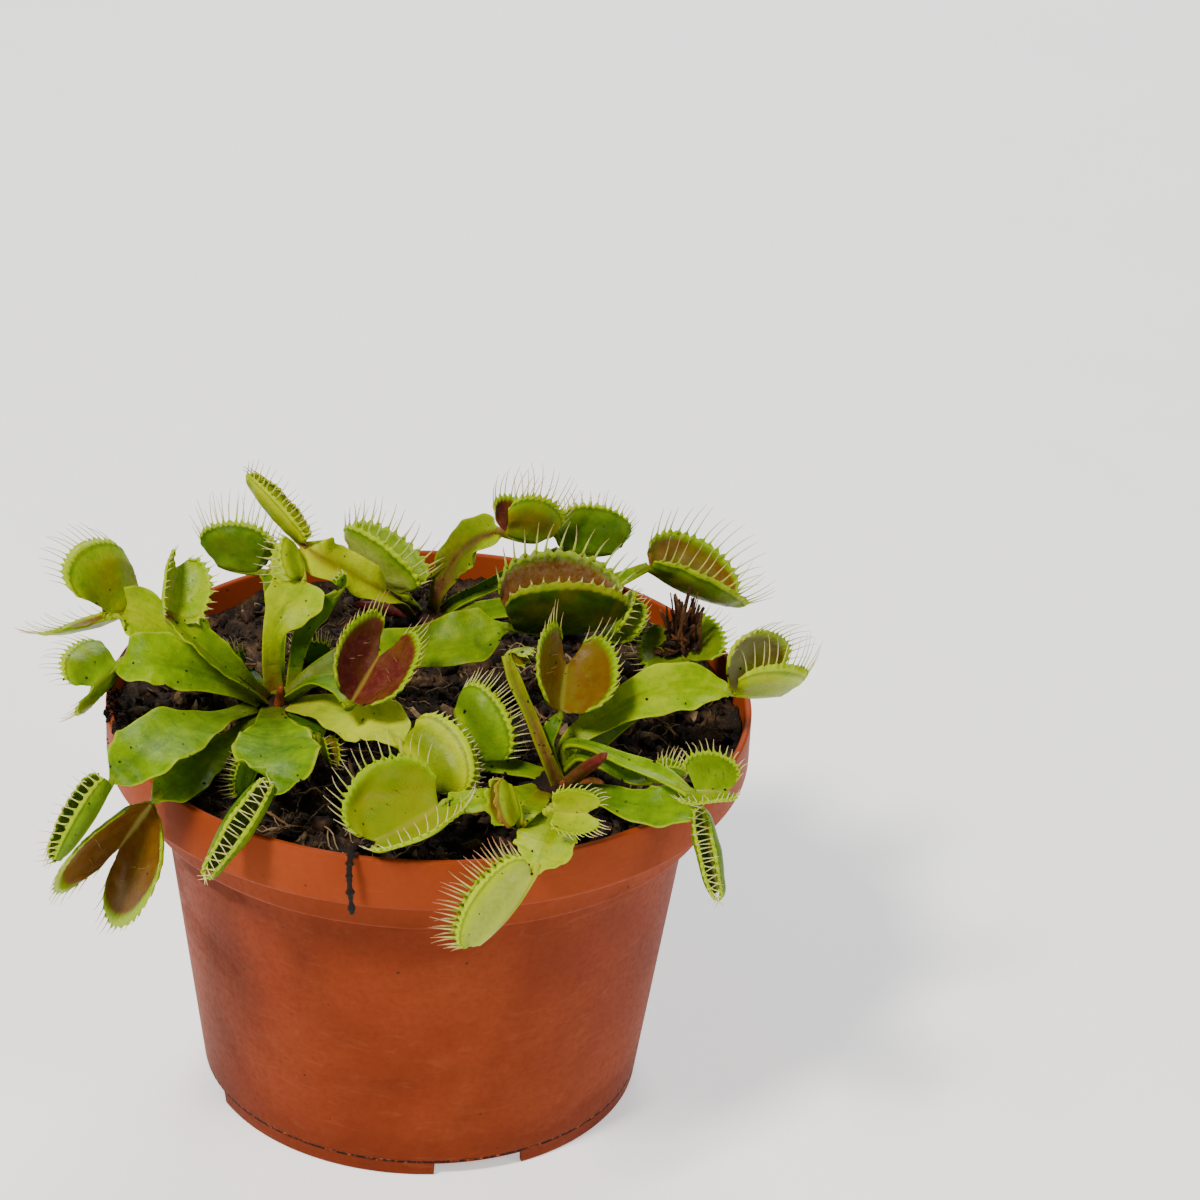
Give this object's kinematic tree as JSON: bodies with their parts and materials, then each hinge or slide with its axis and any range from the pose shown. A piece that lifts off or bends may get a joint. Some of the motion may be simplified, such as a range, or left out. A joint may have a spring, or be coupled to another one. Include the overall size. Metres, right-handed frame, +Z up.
{
  "type": "potted venus flytrap",
  "caption": "Venus flytrap plant with toothed open and closed traps on broad leaf stalks, growing in peat in a round tapered plastic nursery pot.",
  "frame": {"origin": "middle of the pot's underside, on the surface that it stands on", "axes": "+Z up along the pot's axis; -Y is the side that faces the viewer in the picture; +X is to the viewer's right"},
  "size_m": [0.1497, 0.134, 0.119],
  "materials": {
    "pot_plastic": "satin",
    "peat": "rough",
    "crown_base": "satin",
    "leaf_green": "satin",
    "leaf_red": "satin",
    "twig_wood": "rough"
  },
  "bodies": {
    "root": {"pot": "pot_plastic", "crown_left": "crown_base", "leaf_left_upright": "leaf_green", "leaf_left_folded": "leaf_green", "leaf_left_wide": "leaf_green", "leaf_left_high": "leaf_green", "leaf_left_low": "leaf_green", "leaf_left_under": "leaf_green", "leaf_left_shade": "leaf_green", "leaf_left_heart": "leaf_green", "leaf_left_long": "leaf_green", "leaf_left_red": "leaf_red", "leaf_left_young": "leaf_green", "leaf_left_bud": "leaf_green", "leaf_left_dark": "leaf_green", "leaf_left_curved": "leaf_green", "leaf_left_reach": "leaf_green", "leaf_left_rear": "leaf_green", "crown_back": "crown_base", "leaf_back_left": "leaf_green", "leaf_back_cup": "leaf_green", "leaf_back_right": "leaf_green", "leaf_back_groove": "leaf_green", "leaf_back_far": "leaf_green", "crown_right": "crown_base", "leaf_right_front": "leaf_green", "leaf_right_mid": "leaf_green", "leaf_right_rear": "leaf_green", "leaf_right_broad": "leaf_green", "leaf_right_pink": "leaf_green", "leaf_right_open": "leaf_green", "leaf_right_smooth": "leaf_green", "leaf_right_curl": "leaf_green", "leaf_right_small": "leaf_green", "leaf_right_hanging": "leaf_green", "leaf_right_side": "leaf_green", "leaf_right_arch": "leaf_green", "leaf_right_thin": "leaf_green", "soil": "peat", "twig": "twig_wood"}
  },
  "joints": []
}
